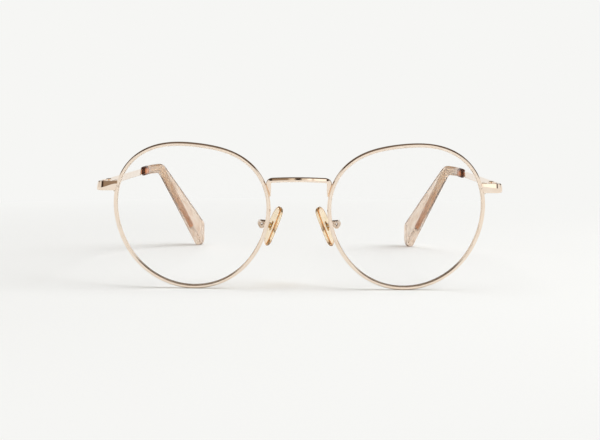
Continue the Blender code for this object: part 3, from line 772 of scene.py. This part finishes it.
def build_pad_arm(side, where, wire):
    """Bent wire, from a soldered foot on the back of the rim to the pad box."""
    root = on_rim(1, ARM_ANGLE, 0, -RIM_HALF_DEPTH + 0.1)
    box = in_pad(1, 0, 0, -BOX_BACK)
    x, y, z = box
    bends = [
        root,
        root + Vector((0.2, 1.3, 0.2)),
        Vector((x + 1.3, root.y + 1.9, root.z + 0.3)),
        Vector((x + 2.2, y - 1.1, z + 1.15)),
        Vector((x + 2.4, y - 0.4, z + 0.1)),
        Vector((x + 1.7, y - 0.1, z - 0.8)),
        in_pad(1, 0, 0, -BOX_BACK - 0.7),
        box,
    ]
    path = smooth_path(bends, 8)
    rings = []
    for k, place in enumerate(path):
        ahead = ahead_of(path, k).normalized()
        first = ahead.cross(Vector((0, 0, 1))).normalized()
        second = ahead.cross(first)
        radius = ARM_RADIUS * (1 + 0.35 * max(0, 1 - k / 4))
        ring = []
        for step in range(ARM_POINTS):
            turn = math.radians(360 / ARM_POINTS * step)
            p = place + (first * math.cos(turn) + second * math.sin(turn)) * radius
            ring.append(Vector((side * p.x, p.y, p.z)))
        rings.append(ring)
    node = f"pad_arm_{where}"
    piece(f"pad_arm_wire_{where}", loft(rings), wire, "front", node, 50)


# ---- the temples ----


def build_bar(side, where, gold):
    """Flat bar with softened edges, up to where it enters the collar."""
    rows = [(0.15, 0.2), (0.22, 0.08)]
    rows += [(arc, 0.0) for arc in (0.35, 12, 24, 36, 48, 60, 71.9)]
    rows += [(72.1, 0.2)]
    rings = [
        level_ring(side, arc, BAR_HEIGHT - trim, BAR_THICKNESS - trim, 0.32) for arc, trim in rows
    ]
    body, node = f"temple_{where}", f"temple_bar_{where}"
    piece(f"temple_bar_polished_{where}", loft(rings), gold, body, node, 50)


def core_path():
    """The core wire's middle line, in the temple's side view."""
    bend = LOWER_BEND + 0.6
    end = bend + (TEMPLE_HEIGHT - CORE_END_HEIGHT) / DROP_SLOPE
    points = ((CORE_START, TEMPLE_HEIGHT), (bend, TEMPLE_HEIGHT), (end, CORE_END_HEIGHT))
    return filleted(points, [CORE_BEND_RADIUS], 8, 10)


def build_core(side, where, core):
    """The bar's core wire, which shows through the tip."""
    path = core_path()
    rings = []
    for k, place in enumerate(path):
        ahead = ahead_of(path, k)
        shrink = 0.6 if k == len(path) - 1 else 1
        up = Vector((-ahead.y, ahead.x)).normalized() * (CORE_HEIGHT * shrink / 2)
        rings.append(side_ring(side, place - up, place + up, CORE_THICKNESS * shrink, 0.3, 3))
    body = f"temple_{where}"
    piece(f"core_wire_{where}", loft(rings), core, body, sharp=50)


def build_collar(side, where, copper):
    """Short sleeve: the bar goes into its mouth, and only the core wire comes out behind."""
    start, end = COLLAR
    rows = (
        (start, 0.5), (start + 0.03, 0.3), (start + 0.12, 0.1), (start + 0.3, 0.0),
        (end - 0.25, 0.0), (end - 0.08, 0.08), (end, 0.2),
    )
    thickness = TIP_THICKNESS[0]
    rings = [
        level_ring(side, arc, COLLAR_HEIGHT - trim, thickness - trim, 1.3) for arc, trim in rows
    ]
    mouth = start + COLLAR_MOUTH
    for arc in (end, mouth):
        rings.append(level_ring(side, arc, CORE_HEIGHT + 0.1, CORE_THICKNESS + 0.1, 0.3))
    for arc, flare in ((mouth, 0.0), (start + 0.1, 0.02), (start - 0.02, 0.1)):
        height, thickness = BAR_HEIGHT + 0.08 + flare, BAR_THICKNESS + 0.08 + flare
        rings.append(level_ring(side, arc, height, thickness, 0.35))
    shape = loft(rings, closed=True)
    body, node = f"temple_{where}", f"tip_collar_{where}"
    piece(f"collar_sleeve_{where}", shape, copper, body, node)


def tip_edges():
    """The tip's upper and lower edges, in the temple's side view."""
    half = TIP_HEIGHT / 2
    facet = TIP_CORNER_HEIGHT / 2
    drop = TEMPLE_HEIGHT - half - DROP_SLOPE * (TIP_END - LOWER_BEND)
    upper = (
        (TIP_START, TEMPLE_HEIGHT + half), (TOP_BEND, TEMPLE_HEIGHT + half),
        (TIP_END, TIP_CORNER_HEIGHT), (TIP_END, facet + 1),
    )
    lower = (
        (TIP_START, TEMPLE_HEIGHT - half), (LOWER_BEND, TEMPLE_HEIGHT - half),
        (TIP_END, drop), (TIP_END, facet - 1),
    )
    return filleted(upper, TIP_UPPER_RADII, 10, 10), filleted(lower, TIP_LOWER_RADII, 10, 10)


def build_tip(side, where, plastic):
    """Moulded ear tip round the core wire, a flat paddle with an upright end facet."""
    upper, lower = tip_edges()
    rings = []
    count = len(upper) - 1
    for k, (high, low) in enumerate(zip(upper, lower)):
        share = k / count
        thickness = TIP_THICKNESS[0] + (TIP_THICKNESS[1] - TIP_THICKNESS[0]) * share
        rings.append(side_ring(side, low, high, thickness, 1.15 - 0.3 * share, 6))
    body, node = f"temple_{where}", f"temple_tip_{where}"
    piece(f"tip_moulding_{where}", loft(rings), plastic, body, node, 60)


# ---- the nose pads ----


def pad_outline(turn):
    """A point round the pad's D shape, whose front edge is the straighter one."""
    c, t = math.cos(turn), math.sin(turn)
    half, power = PAD_HALF_WIDTHS[c >= 0], PAD_POWERS[c >= 0]
    reach = (abs(c) ** power + abs(t) ** power) ** (-1 / power)
    return PAD_LENGTH / 2 * t * reach, half * c * reach * (1 + PAD_TAPER * t)


def build_pad(side, where, soft):
    """Soft pad: flat back with a rounded edge, gently domed towards the nose."""
    levels = (
        (0.0, 0.02), (0.0, 0.5), (0.0, 0.8), (0.0, 0.9), (0.04, 0.94), (0.14, 0.975), (0.3, 1.0),
        (0.6, 1.0), (0.9, 0.99), (1.15, 0.96), (1.35, 0.9), (1.48, 0.8), (1.56, 0.65),
        (1.6, 0.4), (1.62, 0.03),
    )
    turns = [2 * math.pi * k / PAD_POINTS for k in range(PAD_POINTS)]
    outline = [pad_outline(turn) for turn in turns]
    rings = [
        [in_pad(side, a * share, c * share, PAD_BACK + rise) for a, c in outline]
        for rise, share in levels
    ]
    shape = loft(rings)
    # the darker band: a parting line and painted shade on the rounded edge, fainter at the pad's
    # two ends
    parting_line_and_edge_shade = shape.verts.layers.float.new("parting_line_and_edge_shade")
    for k, vert in enumerate(shape.verts):
        level, point = divmod(k, PAD_POINTS)
        vert[parting_line_and_edge_shade] = (level in PARTING_AND_EDGE_SHADE_LEVELS) * (1 - 0.5 * abs(math.sin(turns[point])) ** 8)
    body, node = f"pad_{where}", f"nose_pad_{where}"
    piece(f"nose_pad_soft_{where}", shape, soft, body, node, 60)


# ---- the setting ----


def build_floor():
    """Pale floor, lit near the object and fading into the background further out."""
    made, n = new_material("pale_floor")
    place = n.add("ShaderNodeTexCoord")
    far = n.add("ShaderNodeVectorMath", Vector=place.outputs["Object"])
    far.operation = "LENGTH"
    grain = n.ramp(n.noise(900, 4), (0.3, (0.885, 0.911, 0.913)), (0.7, (0.90, 0.926, 0.928)))
    lit = n.add("ShaderNodeBsdfDiffuse", Color=grain)
    glow = n.add("ShaderNodeEmission", Color=(*BACKGROUND, 1))
    fade = n.math("MULTIPLY_ADD", far.outputs["Value"], FADE_RATE, -FADE_RATE * FADE_START)
    fade = n.math("SMOOTH_MIN", n.math("MAXIMUM", fade, 0.0), 1.0, FADE_ROUNDING)
    shown = n.mixed_shader(fade, lit.outputs[0], glow.outputs[0])
    n.add("ShaderNodeOutputMaterial", Surface=shown)
    shape = bmesh.new()
    bmesh.ops.create_grid(shape, x_segments=8, y_segments=8, size=FLOOR_HALF)
    mesh = bpy.data.meshes.new("floor")
    shape.to_mesh(mesh)
    shape.free()
    mesh.materials.append(made)
    floor = bpy.data.objects.new("floor", mesh)
    bpy.context.scene.collection.objects.link(floor)


def build_world():
    """The studio that the polished metal mirrors; the camera sees only a plain background.

    It is pale up to the horizon, dark brown overhead, and pale further up at the back. In front,
    between the horizon and the dark, stands a row of panels, listed from the left to the right.
    """
    world = bpy.data.worlds.new("studio")
    world.use_nodes = True
    n = Nodes(world.node_tree)
    place = n.add("ShaderNodeTexCoord")
    parts = n.add("ShaderNodeSeparateXYZ", Vector=place.outputs["Generated"])
    across, deep, rise = parts.outputs
    back = n.clamped(n.math("MULTIPLY", deep, 4.0))
    level = n.math("MULTIPLY_ADD", back, -0.16, rise)
    dark, glare = (0.05, 0.03, 0.018), (1.35, 1.3, 1.22)
    brown, cream = (0.36, 0.27, 0.19), (0.85, 0.78, 0.68)
    sky = n.ramp(
        level, (0.0, BACKGROUND), (0.05, BACKGROUND), (0.13, dark), (0.6, (0.09, 0.06, 0.04)),
        (1.0, (0.2, 0.16, 0.13)),
    )
    panels = n.ramp(
        n.math("MULTIPLY_ADD", across, 0.5, 0.5),
        (0.15, (0.85, 0.82, 0.78)), (0.20, dark), (0.33, dark), (0.35, (0.32, 0.23, 0.16)),
        (0.445, brown), (0.455, (0.85, 0.75, 0.62)), (0.474, (0.9, 0.81, 0.68)),
        (0.477, dark), (0.500, dark),  # the spot in the middle of the bridge
        (0.503, (0.85, 0.77, 0.66)), (0.522, cream), (0.535, glare), (0.545, glare),
        (0.549, (0.5, 0.4, 0.3)), (0.557, glare), (0.66, glare), (0.69, dark), (0.79, dark),
        (0.83, (0.95, 0.94, 0.92)),
    )
    low = n.ramp(rise, (0.5, WHITE), (0.62, BLACK))
    front = n.math("MULTIPLY", n.math("SUBTRACT", 1.0, back), low)
    high = n.ramp(rise, (0.06, BLACK), (0.13, WHITE))
    sky = n.mixed(n.math("MULTIPLY", front, high), sky, panels)
    path = n.add("ShaderNodeLightPath")
    direct = n.math("MAXIMUM", path.outputs["Is Camera Ray"], path.outputs["Is Transmission Ray"])
    shown = n.mixed(direct, sky, BACKGROUND)
    shade = n.add("ShaderNodeBackground", Color=shown, Strength=1.0)
    n.add("ShaderNodeOutputWorld", Surface=shade.outputs[0])
    bpy.context.scene.world = world


def add_lamp(name, place, aim, size, watts):
    """A rectangular lamp that only lights: neither the metal nor the camera shows it."""
    data = bpy.data.lights.new(name, "AREA")
    data.shape = "RECTANGLE"
    data.size, data.size_y = size
    data.energy = watts
    lamp = bpy.data.objects.new(name, data)
    lamp.location = place
    lamp.rotation_euler = (Vector(aim) - Vector(place)).to_track_quat("-Z", "Y").to_euler()
    lamp.visible_glossy = False
    lamp.visible_transmission = False
    lamp.visible_camera = False
    bpy.context.scene.collection.objects.link(lamp)


def build_camera():
    """At the photograph's viewing angle."""
    aim_x, aim_z = CAMERA_AIM
    aim = ORIGIN + Vector((aim_x, 0, aim_z)) * MM
    back = Vector((0, -math.cos(CAMERA_ELEVATION), math.sin(CAMERA_ELEVATION))) * CAMERA_DISTANCE
    place = ORIGIN + Vector((CAMERA_X, back.y, aim_z + back.z)) * MM
    data = bpy.data.cameras.new("camera")
    data.sensor_width = 36.0
    data.lens = FOCAL_MM
    data.clip_start, data.clip_end = 0.01, 50
    camera = bpy.data.objects.new("camera", data)
    bpy.context.scene.collection.objects.link(camera)
    turn = (aim - place).to_track_quat("-Z", "Y").to_matrix() @ Matrix.Rotation(CAMERA_ROLL, 3, "Z")
    camera.matrix_world = Matrix.Translation(place) @ turn.to_4x4()
    bpy.context.scene.camera = camera


# ---- assembly ----


def build_object():
    """Every piece, with the material that it shares with others."""
    gold = polished_metal("polished_gold", GOLD, (0.89, 0.74, 0.61), (0.03, 0.08))
    brass = polished_metal("pad_box_gold", (0.74, 0.42, 0.11), (0.26, 0.11, 0.03), patches=500)
    # the wire's dark patches are painted dark glints, standing in for dark reflections on its loops
    wire = polished_metal("pad_arm_gold_painted_glints", GOLD, (0.48, 0.35, 0.25), (0.02, 0.06), patches=620)
    steel_colours = (0.80, 0.72, 0.62), (0.68, 0.60, 0.50)
    steel = polished_metal("turned_steel", *steel_colours, (0.2, 0.35), grain=0.05)
    copper = collar_metal()
    core = knurled_core("core_wire_knurl")
    glass, plastic, soft = clear_lens(), acetate(), amber()
    build_bridge(gold)
    for where, side in SIDES.items():
        build_rim(side, where, gold)
        build_lens(side, where, glass)
        build_end_piece(side, where, gold)
        build_hinge_screw(side, where, steel)
        build_pad_arm(side, where, wire)
        build_bar(side, where, gold)
        build_core(side, where, core)
        build_collar(side, where, copper)
        build_tip(side, where, plastic)
        build_pad(side, where, soft)
        for node in ("rim_lock_upper", "rim_lock_lower", "front_hinge", "temple_hinge"):
            carry(f"{node}_{where}", gold)
        for node in ("pad_box", "pad_mount"):
            carry(f"{node}_{where}", brass)
        for node in ("rim_lock_screw", "pad_screw"):
            carry(f"{node}_{where}", steel, 0.04)


def main():
    build_object()
    build_floor()
    build_world()
    for name, lamp in LAMPS.items():
        add_lamp(name, **lamp)
    build_camera()
    scene = bpy.context.scene
    scene.view_settings.view_transform = "Standard"
    scene.view_settings.look = "None"


main()
